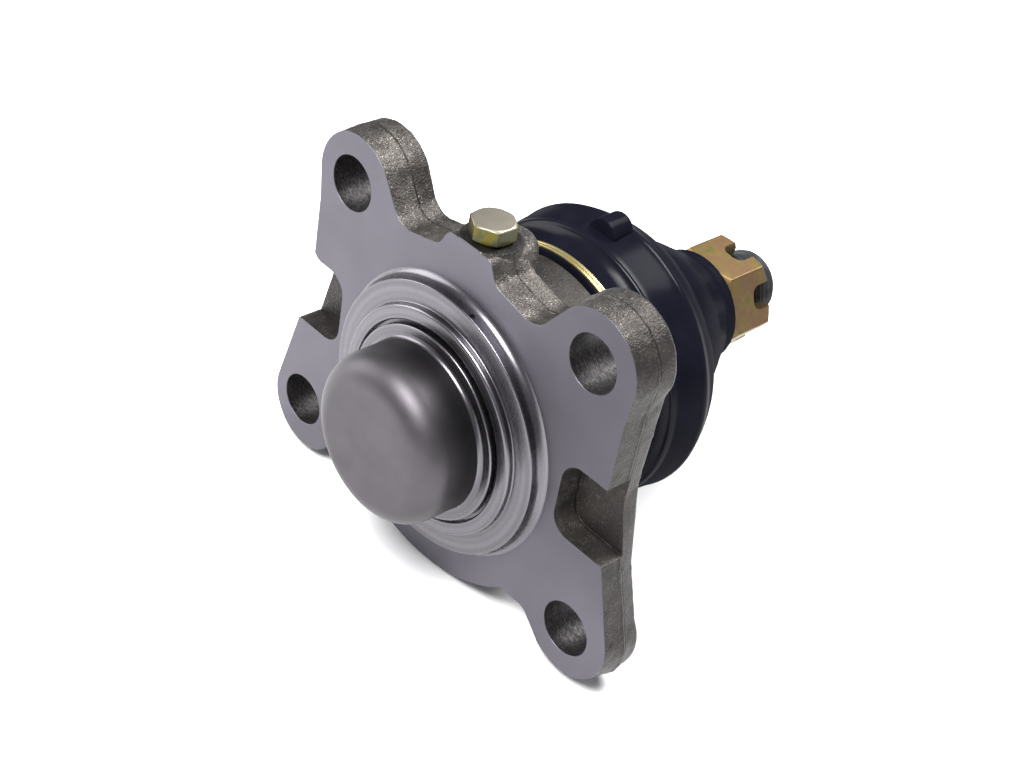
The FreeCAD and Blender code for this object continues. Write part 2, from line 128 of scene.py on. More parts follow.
class NutSizes(bpy.types.PropertyGroup):
    across_flats: length("Across flats", "Width of the nut over its flats", 24.0)
    height: length("Height", "Height of the nut with its castle", 14.6)
    seat: length("Seat", "Where the nut's underside lies along the stud", 80.3)
    slot: length("Slot width", "Width of the split-pin slots", 6.0)
    slot_depth: length("Slot depth", "Depth of the split-pin slots", 6.4)
    thread: length("Thread radius", "Outer radius of the stud's thread", 8.0)
    pitch: length("Pitch", "Pitch of the stud's thread", 1.5)


class BallJointLook(bpy.types.PropertyGroup):
    flange: PointerProperty(type=FlangeSizes)
    spigot: PointerProperty(type=SpigotSizes)
    cap: PointerProperty(type=CapSizes)
    nut: PointerProperty(type=NutSizes)
    segments: IntProperty(name="Segments", description="Steps round each turned surface", default=288,
                          min=24, max=720)
    machined: colour("Machined steel", "Colour of the machined flange face", (0.106, 0.099, 0.117))
    forged: colour("Forged steel", "Colour of the shot-blasted forging", (0.069, 0.062, 0.057))
    turned: colour("Turned steel", "Colour of the bright turned rings", (0.130, 0.123, 0.135))
    cap_steel: colour("Cap steel", "Colour of the pressed cap", (0.082, 0.075, 0.082))
    rubber: colour("Rubber", "Colour of the boot", (0.0045, 0.0045, 0.008))
    gold: colour("Nut plating", "Main colour of the passivated nut", (0.20, 0.135, 0.045))
    plug_plate: colour("Plug plating", "Main colour of the grease plug", (0.17, 0.16, 0.085))
    clip_plate: colour("Clip plating", "Main colour of the wire clip", (0.42, 0.35, 0.13))
    floor: colour("Floor", "Colour of the studio floor", (0.90, 0.90, 0.905))


# Mesh making

def make_mesh(name, points, faces):
    """A mesh from an array of points and an array of four-cornered faces."""
    mesh = bpy.data.meshes.new(name)
    points = np.ascontiguousarray(points, np.float32)
    faces = np.ascontiguousarray(faces, np.int32)
    mesh.vertices.add(len(points))
    mesh.vertices.foreach_set("co", points.ravel())
    mesh.loops.add(faces.size)
    mesh.loops.foreach_set("vertex_index", faces.ravel())
    mesh.polygons.add(len(faces))
    mesh.polygons.foreach_set("loop_start", np.arange(0, faces.size, faces.shape[1], dtype=np.int32))
    mesh.update(calc_edges=True)
    mesh.validate()
    return mesh


def grid_faces(rows, columns, close_rows=False):
    """Corner numbers of a grid whose columns run round and close, and whose rows may close too."""
    last = rows if close_rows else rows - 1
    r = np.arange(last)[:, None]
    c = np.arange(columns)[None, :]
    r_next = (r + 1) % rows
    c_next = (c + 1) % columns
    corners = [r * columns + c, r * columns + c_next, r_next * columns + c_next, r_next * columns + c]
    return np.stack([np.broadcast_to(k, (last, columns)) for k in corners], -1).reshape(-1, 4)


def tidy_mesh(mesh, merge=2e-6, caps=False):
    """Merges doubled points, closes open rims with a face where asked, and turns all faces outwards."""
    bm = bmesh.new()
    bm.from_mesh(mesh)
    bmesh.ops.remove_doubles(bm, verts=bm.verts, dist=merge)
    bmesh.ops.dissolve_degenerate(bm, edges=bm.edges, dist=merge / 2)
    if caps:
        rim = [e for e in bm.edges if e.is_boundary]
        bmesh.ops.edgeloop_fill(bm, edges=rim)
    bmesh.ops.recalc_face_normals(bm, faces=bm.faces)
    bm.to_mesh(mesh)
    bm.free()
    return mesh


def read(items, key, width=1, kind=np.float32):
    """One property of all vertices, edges or faces as an array, with a row for each if it has several numbers."""
    values = np.empty(len(items) * width, kind)
    items.foreach_get(key, values)
    return values.reshape(-1, width) if width > 1 else values


def shift(x, y, z):
    return Matrix.Translation((x * MM, y * MM, z * MM))


def rotation(axis, degrees):
    return Matrix.Rotation(math.radians(degrees), 4, axis)


def moved(mesh, matrix):
    mesh.transform(matrix)
    return mesh


def add_object(name, mesh):
    obj = bpy.data.objects.new(name, mesh)
    bpy.context.scene.collection.objects.link(obj)
    return obj


def add_materials(obj, *materials):
    obj.data.materials.clear()
    for m in materials:
        obj.data.materials.append(m)


def dress(obj, degrees, *finishes):
    """Gives the piece its finishes and smooth faces, with an edge kept sharp where its faces meet at a larger angle."""
    add_materials(obj, *finishes)
    obj.data.polygons.foreach_set("use_smooth", np.ones(len(obj.data.polygons), bool))
    obj.data.set_sharp_from_angle(angle=math.radians(degrees))
    obj.data.update()


def place(obj, body, slot, *nodes):
    """Hands the finished piece to its body and hides the CAD nodes that it stands for. The slot is not used."""
    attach(obj, body)
    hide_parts(*nodes)


def settle(obj):
    """Turns the piece's modifiers into its mesh."""
    bpy.context.view_layer.update()
    mesh = bpy.data.meshes.new_from_object(obj.evaluated_get(bpy.context.evaluated_depsgraph_get()))
    obj.modifiers.clear()
    old = obj.data
    obj.data = mesh
    bpy.data.meshes.remove(old)


def combine(obj, tool, operation, crossing=False):
    """Adds a closed tool to the piece, or takes it away, and removes the tool. The tool's shells may cross."""
    change = obj.modifiers.new("Combine", "BOOLEAN")
    change.operation = operation
    change.solver = "EXACT"
    change.object = tool
    change.use_self = crossing
    settle(obj)
    tool_mesh = tool.data
    bpy.data.objects.remove(tool)
    bpy.data.meshes.remove(tool_mesh)


# Outlines and profiles

def arc(centre, radius, start, end, steps):
    """Points at equal angles from start to end, in degrees: the centre plus radius times cosine and sine."""
    a = np.radians(np.linspace(start, end, steps))
    return np.stack([centre[0] + radius * np.cos(a), centre[1] + radius * np.sin(a)], -1)


def corner(point, before, after, radius, steps):
    """The arc that touches both runs at a corner: its centre lies on the bisector, at a distance of the radius over
    the sine of half the angle."""
    p, b, a = (np.asarray(v, float) for v in (point, before, after))
    u = (b - p) / np.linalg.norm(b - p)
    v = (a - p) / np.linalg.norm(a - p)
    half = math.acos(np.clip(u @ v, -1, 1)) / 2
    bisector = (u + v) / np.linalg.norm(u + v)
    centre = p + bisector * radius / math.sin(half)
    first = p + u * radius / math.tan(half) - centre
    last = p + v * radius / math.tan(half) - centre
    sweep = math.pi - 2 * half
    turn = np.sign(first[0] * last[1] - first[1] * last[0])
    t = np.linspace(0, sweep, steps) * turn
    c, s = np.cos(t), np.sin(t)
    return centre + np.stack([first[0] * c - first[1] * s, first[0] * s + first[1] * c], -1)


def rounded_path(points, steps=8):
    """A path through (a, b, radius) points: each with a radius becomes the arc of that radius."""
    out = []
    for i, (x, y, radius) in enumerate(points):
        inner = 0 < i < len(points) - 1
        if radius > 0 and inner:
            out.append(corner((x, y), points[i - 1][:2], points[i + 1][:2], radius, steps))
        else:
            out.append(np.array([[x, y]], float))
    return np.concatenate(out)


def three_point_arc(start, middle, end, steps):
    """Points of the circle through three points, from the first to the last."""
    p, q, r = (np.asarray(v, float) for v in (start, middle, end))
    system = 2 * np.array([q - p, r - p])
    centre = np.linalg.solve(system, np.array([q @ q - p @ p, r @ r - p @ p]))
    angles = [math.atan2(*(v - centre)[::-1]) for v in (p, q, r)]
    turn = (angles[2] - angles[0]) % (2 * math.pi)
    if (angles[1] - angles[0]) % (2 * math.pi) > turn:
        turn -= 2 * math.pi
    t = angles[0] + np.linspace(0, turn, steps)
    radius = np.linalg.norm(p - centre)
    return centre + radius * np.stack([np.cos(t), np.sin(t)], -1)


def refine(path, step):
    """The same path with points added so that no run is longer than step."""
    runs = np.maximum(1, np.ceil(np.linalg.norm(np.diff(path, axis=0), axis=1) / step).astype(int))
    start = np.repeat(np.arange(len(runs)), runs)
    share = np.concatenate([np.arange(n) / n for n in runs])
    points = path[start] + (path[start + 1] - path[start]) * share[:, None]
    return np.concatenate([points, path[-1:]])


def full_turn(steps):
    return np.linspace(0, 2 * math.pi, steps, endpoint=False)


def spun(radius, y, angle):
    """Points about the stud axis: (r cos a, y, r sin a)."""
    return np.stack(np.broadcast_arrays(radius * np.cos(angle), y, radius * np.sin(angle)), -1)


def grid_mesh(name, points, closed=False, caps=False):
    """A mesh of a grid of points in metres whose columns run round. Its rows may close too, or its ends be capped."""
    faces = grid_faces(*points.shape[:2], closed)
    return tidy_mesh(make_mesh(name, points.reshape(-1, 3), faces), caps=caps)


def turned_mesh(name, profile_mm, segments, closed=False):
    """A profile of (radius, y) spun about the stud axis: (r cos a, y, r sin a) for equal angles a."""
    profile = np.asarray(profile_mm, float) * MM
    return grid_mesh(name, spun(profile[:, :1], profile[:, 1:], full_turn(segments)), closed)


def relief(points, size_mm, seed, waves=40):
    """Uneven height between about -1 and 1: a sum of sine waves of roughly one size in seeded directions."""
    rng = np.random.default_rng(seed)
    direction = rng.normal(size=(waves, 3))
    direction /= np.linalg.norm(direction, axis=1)[:, None]
    rate = 2 * math.pi / (size_mm * MM) * rng.uniform(0.55, 1.6, waves)
    phase = rng.uniform(0, 2 * math.pi, waves)
    return np.sin(points @ (direction * rate[:, None]).T + phase).sum(1) / math.sqrt(waves)


# Shader making

class Shade:
    """A shader socket that can be used in sums; a sum with a number or another socket adds its Math node."""

    def __init__(self, finish, socket):
        self.finish = finish
        self.socket = socket

    def math(self, operation, *others):
        values = {i: v for i, v in enumerate((self, *others))}
        return self.finish.node("Math", {"operation": operation}, values)

    def __add__(self, other):
        return self.math("ADD", other)

    __radd__ = __add__

    def __mul__(self, other):
        return self.math("MULTIPLY", other)

    __rmul__ = __mul__

    def __sub__(self, other):
        return self.math("SUBTRACT", other)

    def __rsub__(self, other):
        return self.finish.node("Math", {"operation": "SUBTRACT"}, {0: other, 1: self})

    def __pow__(self, other):
        return self.math("POWER", other)

    def __abs__(self):
        return self.math("ABSOLUTE")

    def above(self, low, high):
        """0 below low, 1 above high, and a smooth rise between."""
        return self.finish.node("MapRange", {"interpolation_type": "SMOOTHSTEP"},
                                {"Value": self, "From Min": low, "From Max": high})

    def above_mm(self, low, high):
        return self.above(low * MM, high * MM)


class Finish:
    """A material and its nodes, with the piece's own coordinates at hand."""

    def __init__(self, name, metallic, specular=0.5, coat_roughness=0.1):
        self.material = bpy.data.materials.new(name)
        self.material.use_nodes = True
        self.tree = self.material.node_tree
        self.shader = next(n for n in self.tree.nodes if n.type == "BSDF_PRINCIPLED")
        for key, value in (("Metallic", metallic), ("Specular IOR Level", specular),
                           ("Coat Roughness", coat_roughness)):
            self.shader.inputs[key].default_value = value
        self.place = self.node("TexCoord", {}, {}, "Object")
        parts = self.node("SeparateXYZ", {}, {"Vector": self.place}, None)
        self.x, self.y, self.z = (Shade(self, parts.outputs[k]) for k in ("X", "Y", "Z"))

    def node(self, kind, settings, sockets, output=0):
        """Adds one node: its settings first, then the values or links of its sockets."""
        made = self.tree.nodes.new("ShaderNode" + kind)
        for key, value in settings.items():
            if key == "stops":
                self.set_stops(made, value)
            else:
                setattr(made, key, value)
        for key, value in sockets.items():
            if isinstance(value, Shade):
                self.tree.links.new(value.socket, made.inputs[key])
            else:
                made.inputs[key].default_value = value
        return made if output is None else Shade(self, made.outputs[output])

    @staticmethod
    def set_stops(ramp_node, stops):
        ramp = ramp_node.color_ramp
        while len(ramp.elements) < len(stops):
            ramp.elements.new(1.0)
        for element, (position, shade) in zip(ramp.elements, stops):
            element.position = position
            element.color = (*shade, 1.0)

    def noise(self, size_mm, detail=2.0, roughness=0.5, place=None):
        """Cloudy values from 0 to 1 whose lumps are about size_mm wide."""
        return self.node("TexNoise", {"noise_dimensions": "3D"},
                         {"Vector": place or self.place, "Scale": 1 / (size_mm * MM), "Detail": detail,
                          "Roughness": roughness}, "Fac")

    def grains(self, size_mm):
        """Distance to the nearest of many scattered points, about size_mm apart."""
        return self.node("TexVoronoi", {"feature": "F1"},
                         {"Vector": self.place, "Scale": 1 / (size_mm * MM)}, "Distance")

    def stretched(self, scale):
        """The piece's coordinates stretched along each axis."""
        return self.node("Mapping", {}, {"Vector": self.place, "Scale": scale})

    def mix(self, share, first, second):
        """A colour between two, by a share from 0 to 1."""
        made = self.node("Mix", {"data_type": "RGBA"}, {}, None)
        for key, value in ((0, share), (6, first), (7, second)):
            if isinstance(value, Shade):
                self.tree.links.new(value.socket, made.inputs[key])
            elif key == 0:
                made.inputs[key].default_value = value
            else:
                made.inputs[key].default_value = (*value[:3], 1.0)
        return Shade(self, made.outputs[2])

    def layers(self, base, *layers):
        """A base with other colours over it, each with its share."""
        for share, tint in layers:
            base = self.mix(share, base, tint)
        return base

    def drift(self, share, tint, low, high):
        """A colour that drifts between two strengths of one tint."""
        return self.mix(share, [c * low for c in tint], [c * high for c in tint])

    def ramp(self, value, stops):
        return self.node("ValToRGB", {"stops": stops}, {"Fac": value}, "Color")

    def radius(self):
        """Distance from the stud axis."""
        return (self.x * self.x + self.z * self.z) ** 0.5

    def away_from(self, x, y, z):
        """Distance from a point given in mm."""
        dx, dy, dz = self.x - x * MM, self.y - y * MM, self.z - z * MM
        return (dx * dx + dy * dy + dz * dz) ** 0.5

    def bump(self, height, distance_mm, strength):
        return self.node("Bump", {}, {"Strength": strength, "Distance": distance_mm * MM, "Height": height},
                         "Normal")

    def wear(self, base, roughness, normal=None, coat=None):
        """Links what varies over the surface to the shader."""
        for key, value in (("Base Color", base), ("Roughness", roughness), ("Normal", normal),
                           ("Coat Weight", coat)):
            if isinstance(value, Shade):
                self.tree.links.new(value.socket, self.shader.inputs[key])
            elif value is not None:
                self.shader.inputs[key].default_value = value
        return self.material


def machined_finish(look):
    """Milled flange face: smooth satin with a cloudy drift, fine grain, scattered small pits and a patch of them,
    and painted shade over the right side that fades out towards the bottom.
    """
    f = Finish("machined_face", metallic=0.85)
    cloud = f.noise(14.0, 3.0)
    fine = f.noise(0.5, 3.0, 0.6)
    pits = 1 - f.grains(3.4).above(0.03, 0.085)
    near = 1 - f.away_from(*PITS).above_mm(1.5, 4.5)
    pits = pits + near * (1 - f.grains(1.1).above(0.12, 0.26)) * f.noise(1.6).above(0.45, 0.6)
    base = f.drift(cloud.above(0.3, 0.7), look.machined, 0.93, 1.06)
    # painted shade: darkens the right side of the face, fading out towards the bottom
    painted_shade_right = f.x.above_mm(12.0, 44.0) * f.z.above_mm(-24.0, 6.0)
    base = f.layers(base, (painted_shade_right * 0.6, [c * 0.45 for c in look.machined]), (pits * 0.6, (0.06, 0.055, 0.06)))
    rough = 0.42 + cloud * 0.05 + fine * 0.04
    return f.wear(base, rough, f.bump(fine * 0.5 - pits * 1.2, 0.010, 0.4))


def forged_finish(look):
    """Shot-blasted forging skin: peened dimples, brown-grey scale in the hollows and bright rubbed grains. Painted
    shade darkens it at the back, at the sides and in the plug's seat, and it is darker along the parting line."""
    f = Finish("forged_skin", metallic=0.85)
    dents = f.grains(0.62)
    small = f.grains(0.30)
    cloud = f.noise(6.0, 4.0, 0.6)
    patch = f.noise(3.0, 3.0, 0.6)
    fine = f.noise(0.34, 2.0, 0.6)
    bright = fine.above(0.56, 0.68) * (0.25 + patch.above(0.42, 0.62) * 0.75)
    # painted shade: back darkens the forging towards the neck behind the flange, sides darkens it towards both outer
    # ends
    back, sides = f.y.above_mm(12.0, 21.0), abs(f.x).above_mm(31.0, 46.0)
    line = 1 - abs(f.y - 6.0 * MM).above_mm(0.08, 0.34)
    # painted shade in the plug's seat, round the foot of the plug
    seat = f.z.above_mm(42.5, 42.75) * (1 - abs(f.x).above_mm(6.8, 7.4))
    base = f.layers(
        f.drift(cloud.above(0.35, 0.68), look.forged, 0.72, 1.35),
        ((1 - dents.above(0.15, 0.5)) * 0.5, (0.035, 0.03, 0.026)), (bright * 0.65, (0.42, 0.40, 0.35)),
        (back * 0.8, (0.026, 0.024, 0.022)), (sides * 0.62, (0.026, 0.023, 0.022)),
        (line * patch.above(0.38, 0.52) * 0.85, (0.010, 0.009, 0.009)), (seat * 0.8, (0.012, 0.011, 0.010)))
    rough = 0.38 + cloud * 0.16 + small * 0.1
    height = dents * 0.7 + small * 0.6 + fine * 0.7 - line * 0.8
    return f.wear(base, rough, f.bump(height, 0.13, 0.85))


def turned_finish(look):
    """Bright turned rings: fine tool lines round the axis, broader waves, a few dull marks and one nick."""
    f = Finish("turned_ring", metallic=1.0)
    r = f.radius()
    lines = f.noise(0.16, 1.0, 0.5, f.node("CombineXYZ", {}, {"X": r, "Y": f.y, "Z": r * 0.3}))
    wide = f.noise(1.1, 2.0, 0.5, f.node("CombineXYZ", {}, {"X": r, "Y": f.y, "Z": r * 0.2}))
    smear = f.noise(5.0, 3.0)
    base = f.drift(wide.above(0.3, 0.75), look.turned, 0.82, 1.15)
    nick = 1 - f.away_from(*NICK).above_mm(0.45, 0.8)
    base = f.layers(base, (smear.above(0.62, 0.8) * 0.3, (0.10, 0.09, 0.08)), (nick * 0.9, (0.008, 0.008, 0.008)))
    rough = 0.19 + lines * 0.09 + smear * 0.08
    return f.wear(base, rough, f.bump(lines + wide * 0.5, 0.010, 0.55))


def drilled_finish():
    """Drilled hole wall: spiral tool marks climbing round the hole and dark oil stain."""
    f = Finish("drilled_wall", metallic=0.85)
    streak = f.noise(0.42, 3.0, 0.6, f.stretched((0.55, 2.6, 0.55)))
    cloud = f.noise(2.6, 3.0)
    base = f.mix(streak.above(0.4, 0.66), (0.014, 0.013, 0.014), (0.075, 0.068, 0.069))
    base = f.mix(cloud.above(0.45, 0.75) * 0.6, base, (0.014, 0.013, 0.013))
    return f.wear(base, 0.46 + cloud * 0.1, f.bump(streak, 0.07, 0.6))


def cap_finish(look):
    """Pressed sheet cap: satin orange-peel grain with a cloudy drift, and painted shade that darkens it down the wall.
    """
    f = Finish("cap_satin", metallic=0.92)
    grain = f.noise(0.30, 2.0, 0.55)
    cloud = f.noise(7.0, 3.0)
    # painted shade: darkens the cap's wall towards the flange, nearly to black
    wall = f.y.above_mm(-17.0, -9.0)
    base = f.drift(cloud.above(0.3, 0.75), look.cap_steel, 0.92, 1.08)
    base = f.mix(wall * 0.92, base, (0.017, 0.016, 0.017))
    rough = 0.42 + cloud * 0.05 + grain * 0.08 + wall * 0.05
    return f.wear(base, rough, f.bump(grain, 0.03, 0.6))


def rubber_finish(look):
    """Moulded rubber: fine matt bloom over a satin black, with a soft sheen along its three ridges."""
    f = Finish("boot_rubber", metallic=0.0, specular=0.0, coat_roughness=0.2)
    bloom = f.noise(8.0, 4.0, 0.55)
    grain = f.noise(0.35, 2.0, 0.5)
    base = f.drift(bloom.above(0.35, 0.75), look.rubber, 1.0, 1.4)
    ridges = ((36.6, 2.0), (47.0, 2.0), (55.0, 2.6))
    sheen = 0.04 + 0.15 * sum(1 - abs(f.y - y * MM).above_mm(0.3, width) for y, width in ridges)
    return f.wear(base, 0.45 + bloom * 0.12, f.bump(grain, 0.010, 0.35), coat=sheen)


def gold_finish(look):
    """Yellow passivated zinc on the nut: gold that drifts to pink, olive and orange in soft patches."""
    f = Finish("nut_passivated", metallic=0.9)
    drift = f.noise(6.5, 3.0, 0.55)
    second = f.noise(3.1, 2.0, 0.6)
    base = f.ramp(drift, [(0.30, (0.085, 0.088, 0.028)), (0.42, (0.16, 0.115, 0.04)), (0.52, (0.155, 0.088, 0.05)),
                          (0.62, (0.15, 0.11, 0.035)), (0.75, (0.14, 0.08, 0.07))])
    base = f.mix(second.above(0.52, 0.72) * 0.45, base, look.gold)
    grain = f.noise(0.4, 2.0)
    return f.wear(base, 0.36 + drift * 0.1 + grain * 0.04, f.bump(grain, 0.015, 0.4))


def plug_finish(look):
    """Pale yellow-green zinc: a beige top, partly rubbed zinc and partly painted light from above, golden on the flats.
    """
    f = Finish("plug_passivated", metallic=0.88)
    drift = f.noise(3.6, 3.0, 0.55)
    # the top face is painted lighter: partly rubbed zinc, partly painted light from above
    top = f.z.above_mm(46.6, 47.0)
    base = f.mix(drift.above(0.44, 0.56), [c * 0.36 for c in look.plug_plate], (0.10, 0.086, 0.016))
    base = f.mix(top, base, (0.30, 0.275, 0.22))
    grain = f.noise(0.35, 2.0)
    return f.wear(base, 0.30 + drift * 0.12 + grain * 0.05, f.bump(grain, 0.014, 0.4))


def clip_finish(look):
    """Yellow passivated spring wire: fine drawing lines and paler rubbed tops."""
    f = Finish("clip_passivated", metallic=0.9)
    drift = f.noise(5.0, 2.0)
    grain = f.noise(0.3, 2.0)
    base = f.mix(drift.above(0.35, 0.7), look.clip_plate, [c * 0.85 + 0.1 for c in look.clip_plate])
    return f.wear(base, 0.26 + grain * 0.08, f.bump(grain, 0.01, 0.3))


def black_steel_finish():
    """Phosphated stud steel: near-black with fine crystals and thin oil."""
    f = Finish("stud_phosphate", metallic=0.55)
    crystals = f.noise(0.22, 2.0, 0.6)
    cloud = f.noise(4.0, 3.0)
    base = f.mix(cloud.above(0.35, 0.7), (0.016, 0.017, 0.019), (0.04, 0.042, 0.046))
    return f.wear(base, 0.42 + crystals * 0.12, f.bump(crystals, 0.02, 0.5))


def greased_steel_finish(name, shade, rough):
    """Inner steel: plain grey with a cloudy film of grease."""
    f = Finish(name, metallic=0.9)
    film = f.noise(5.0, 3.0)
    base = f.mix(film.above(0.4, 0.7) * 0.6, shade, [c * 0.55 for c in shade])
    return f.wear(base, rough + film * 0.15, f.bump(f.noise(0.4, 2.0), 0.01, 0.3))


# Housing

# Flange sections: depth, growth of the upper and the lower ear, boss edge x, drop of the lower ear,
# side x and z, waist x and z, hip x and z, ear turn, share of the left half's offset
FLANGE_SECTIONS = (
    (0.0, 0.0, 0.0, 6.4, 0.0, 47.0, 29.0, 46.9, 4.5, 50.2, -5.9, 18.3, 1.0),
    (5.5, 0.5, 0.5, 6.2, 1.0, 47.3, 30.0, 47.1, 6.0, 50.6, -7.5, 26.0, 1.3),
    (9.8, 0.7, -0.1, 3.8, 1.6, 47.4, 32.0, 46.5, 9.4, 49.8, -9.3, 34.6, 1.9),
    (11.0, 0.65, -0.2, 3.4, 1.8, 47.2, 32.0, 46.3, 10.0, 49.6, -9.5, 36.0, 1.9))
UPPER_EAR, LOWER_EAR = 45.5, -30.5  # degrees at which the bolt holes lie
# Side pockets: side, then x and rounding of the upper mouth corner and of the lower one
POCKETS = ((-1, 46.5, 3.0, 49.6, 2.2), (1, 47.3, 0.9, 50.6, 1.4))
# The boss and the swell behind it: y, top z, and their profiles from the top down
BOSS_SHELLS = ((PLUG_Y, PLUG_Z, [(0, 0, 0), (6.6, 0, 0.5), (8.35, 14.0, 0), (0, 14.0, 0)]),
               (10.3, 41.9, [(0, 0, 0), (6.9, 0, 2.6), (7.12, 13.6, 0), (0, 13.6, 0)]))


def hole_centres(radius):
    """Middles of the two right bolt holes."""
    return [(radius * math.cos(math.radians(a)), radius * math.sin(math.radians(a)))
            for a in (UPPER_EAR, LOWER_EAR)]


def all_holes(look):
    return [(side * x, z) for x, z in hole_centres(look.bolt_circle / MM) for side in (-1, 1)]


def flange_half(look, section, offset):
    """Half of the outline at one depth: boss, trough, upper ear, side, waist, lower ear and disc. An offset moves
    all but the boss and the disc nearer the middle. Every half has the same number of points."""
    _, up, low, boss_x, ear_drop, side_x, side_z, waist_x, waist_z, hip_x, hip_z, ear_turn, share = section
    (ux, uz), (lx, lz) = hole_centres(look.bolt_circle / MM)
    near = offset * share
    ux, uz = ux - near, uz + 0.3 * near
    lx, lz = lx - 1.4 * offset, lz - ear_drop - offset
    upper_r, lower_r = look.ear / MM + up, look.ear / MM + low - 0.3 * offset
    disc = look.disc / MM + low / 2
    top = (0, 42.6)
    boss_edge = (boss_x, 42.6)
    boss_round = 1.8 if offset == 0 else 2.6
    boss_foot = (8.6 + up / 2, 38.1 + up / 2)
    trough = (21.0 - up / 2 - 0.7 * offset, 35.4 + up / 2)
    upper = arc((ux, uz), upper_r, 142.3, -6.0, 60)
    side, waist, hip = ((x - offset, z) for x, z in ((side_x, side_z), (waist_x, waist_z), (hip_x, hip_z)))
    lower = arc((lx, lz), lower_r, ear_turn, -124.0, 60)
    crook, heel = (32.6 - offset, -30.2 - low / 2), (25.6, -30.3 - low / 2)
    bottom = arc((0, 0), disc, -54.5, -90.0, 44)
    pieces = [
        np.array([top]), corner(boss_edge, top, boss_foot, boss_round, 6),
        corner(boss_foot, boss_edge, trough, 3.4, 10), corner(trough, boss_foot, upper[0], 5.6, 14), upper,
        corner(side, upper[-1], waist, 9.0, 6), corner(waist, side, hip, 13.0, 12),
        corner(hip, waist, lower[0], 9.0, 8), lower, corner(crook, lower[-1], heel, 3.5, 8),
        corner(heel, crook, bottom[0], 2.0, 6), bottom]
    runs = (2, 2, 8, 10, 4, 24, 4, 30, 14, 6, 4)
    out = [pieces[0]]
    for steps, before, after in zip(runs, pieces[:-1], pieces[1:]):
        part = np.linspace(0, 1, steps + 2)[1:-1, None]
        out.append(before[-1] + (after[0] - before[-1]) * part)
        out.append(after)
    return np.concatenate(out)


def flange_outline(look, section):
    """The whole outline at one depth: the right half, then the left half, mirrored and drawn in."""
    right = flange_half(look, section, 0.0)
    left = flange_half(look, section, look.offset / MM)
    return np.concatenate([right, left[-2:0:-1] * (-1, 1)])


def flange_skin(look):
    """The forging's closed skin: sections blended from the face to the back, with a fine front edge, a flash line
    at the parting, a rounded back edge, and uneven relief along the outline's normals."""
    thickness, parting, back = in_mm(look.thickness, look.parting, look.back_round)
    depths = [s[0] for s in FLANGE_SECTIONS]
    outlines = np.stack([flange_outline(look, s) for s in FLANGE_SECTIONS])
    turn = np.linspace(0, math.pi / 2, 8)
    y = np.concatenate([
        [0.0, 0.08], np.linspace(0.5, parting - 0.5, 9), parting + np.array([-0.3, -0.12, 0.12, 0.3]),
        np.linspace(parting + 0.5, thickness - back, 5)[:-1], thickness - back + back * np.sin(turn)])
    inset = np.zeros(len(y))
    inset[0] = 0.07
    inset[-len(turn):] = back * (1 - np.cos(turn))
    flash = 0.22 * np.exp(-((y - parting) / 0.22) ** 2)
    upper = np.searchsorted(depths, y, side="right").clip(1, len(depths) - 1)
    low = np.array(depths)[upper - 1]
    share = ((y - low) / (np.array(depths)[upper] - low))[:, None, None]
    rows = outlines[upper - 1] * (1 - share) + outlines[upper] * share
    step = np.roll(rows, -1, 1) - np.roll(rows, 1, 1)
    normal = np.stack([-step[..., 1], step[..., 0]], -1)
    normal /= np.linalg.norm(normal, axis=-1, keepdims=True)
    points = np.stack([rows[..., 0], np.broadcast_to(y[:, None], rows.shape[:2]), rows[..., 1]], -1) * MM
    flat = points.reshape(-1, 3)
    rough = relief(flat, 3.2, 3) * 0.7 + relief(flat, 1.4, 5) * 0.45
    along = 0.6 + 0.5 * relief(flat, 7.0, 9)
    amount = look.relief * np.clip(np.minimum(y / 0.6, 1), 0, 1)[:, None] * rough.reshape(rows.shape[:2])
    amount = amount + (flash[:, None] * along.reshape(rows.shape[:2]) - inset[:, None]) * MM
    outwards = normal * -1 if outline_turn(outlines[0]) > 0 else normal
    points[..., 0] += outwards[..., 0] * amount
    points[..., 2] += outwards[..., 1] * amount
    return grid_mesh("flange_skin", points, caps=True)


def outline_turn(outline):
    """Twice the signed area: above 0 if the outline runs anticlockwise."""
    x, z = outline.T
    return float(np.sum(x * np.roll(z, -1) - z * np.roll(x, -1)))


def core_profile(s, thickness):
    """Outside of the turned core: clinched lip, flat ring, spigot with its root fillet, then the neck with its groove.
    Inside the flange it stays a hair under both faces, enough for the union to come out sound."""
    neck, end, lip, r = in_mm(s.neck, s.neck_end, s.lip_radius, s.radius)
    lip_y, ring_y = in_mm(-s.lip_height, -s.height)
    hair, hidden = 0.12, r + 3.2
    groove, rim = 26.6, 27.4
    return rounded_path([
        (0, lip_y, 0), (lip, lip_y, 0.8), (lip, ring_y - 0.2, 0.35), (r, ring_y, 0.35), (r, hair, 2.2),
        (hidden, hair, 0), (hidden, thickness - hair, 0), (neck, thickness - hair, 3.7), (neck, 29.1, 0.2),
        (neck - 0.6, 29.7, 0.1), (groove, 29.7, 0.2), (groove, 32.7, 0.2), (rim, 33.1, 0.2),
        (rim, end - 0.8, 0.3), (groove, end, 0.2), (0, end, 0)], 7)


def bore_profile(s):
    """Inside of the housing: lip mouth, cap seat, seat bore and the throat that lets the stud swing."""
    end, mouth = in_mm(s.neck_end, s.lip_bore)
    cap_seat, seat_bore, throat, flared = 24.25, 19.05, 13.9, 22.2
    return rounded_path([
        (0, -7, 0), (mouth + 0.4, -7, 0), (mouth + 0.4, -5.3, 0), (mouth, -4.9, 0.3), (mouth, -4.1, 0),
        (cap_seat, -4.1, 0), (cap_seat, -2.25, 0), (seat_bore, -2.25, 0), (seat_bore, 14.24, 0),
        (throat, 14.24, 0.4), (flared, end + 0.01, 0), (flared, end + 2, 0), (0, end + 2, 0)], 5)


